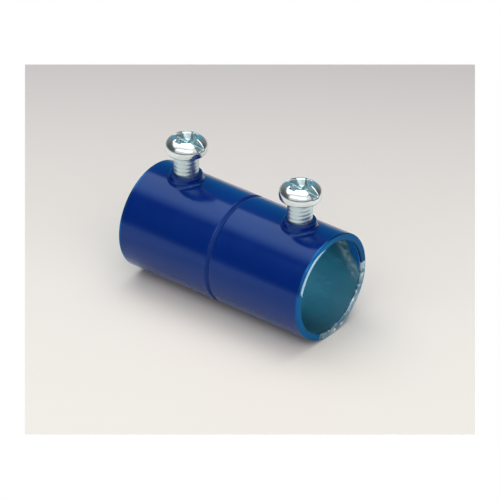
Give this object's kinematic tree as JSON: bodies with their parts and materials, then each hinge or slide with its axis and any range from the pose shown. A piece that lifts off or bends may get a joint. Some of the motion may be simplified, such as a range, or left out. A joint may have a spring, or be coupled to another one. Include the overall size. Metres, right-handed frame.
{
  "type": "conduit coupling",
  "caption": "Steel sleeve that joins two conduit ends at a rolled centre stop and grips them with set screws.",
  "frame": {"origin": "on the sleeve's axis, in the middle of the rolled centre stop", "axes": "+X along the sleeve's axis towards the right-hand mouth, +Z along the set screws towards their heads"},
  "size_m": [0.0416, 0.021, 0.0297],
  "materials": {
    "painted_steel": "gloss blue paint outside, bare zinc plate inside the bore",
    "zinc_plated_steel": "bright zinc plate"
  },
  "bodies": {
    "sleeve": {"coupling_sleeve": "painted_steel"},
    "left_screw": {"set_screw_left": "zinc_plated_steel"},
    "right_screw": {"set_screw_right": "zinc_plated_steel"}
  },
  "joints": [
    {"name": "left_screw_travel", "type": "slide", "parent": "sleeve", "child": "left_screw", "axis": [0, 0, 1], "range_m": [-0.0046, 0.0014]},
    {"name": "right_screw_travel", "type": "slide", "parent": "sleeve", "child": "right_screw", "axis": [0, 0, 1], "range_m": [-0.0046, 0.0014]}
  ]
}
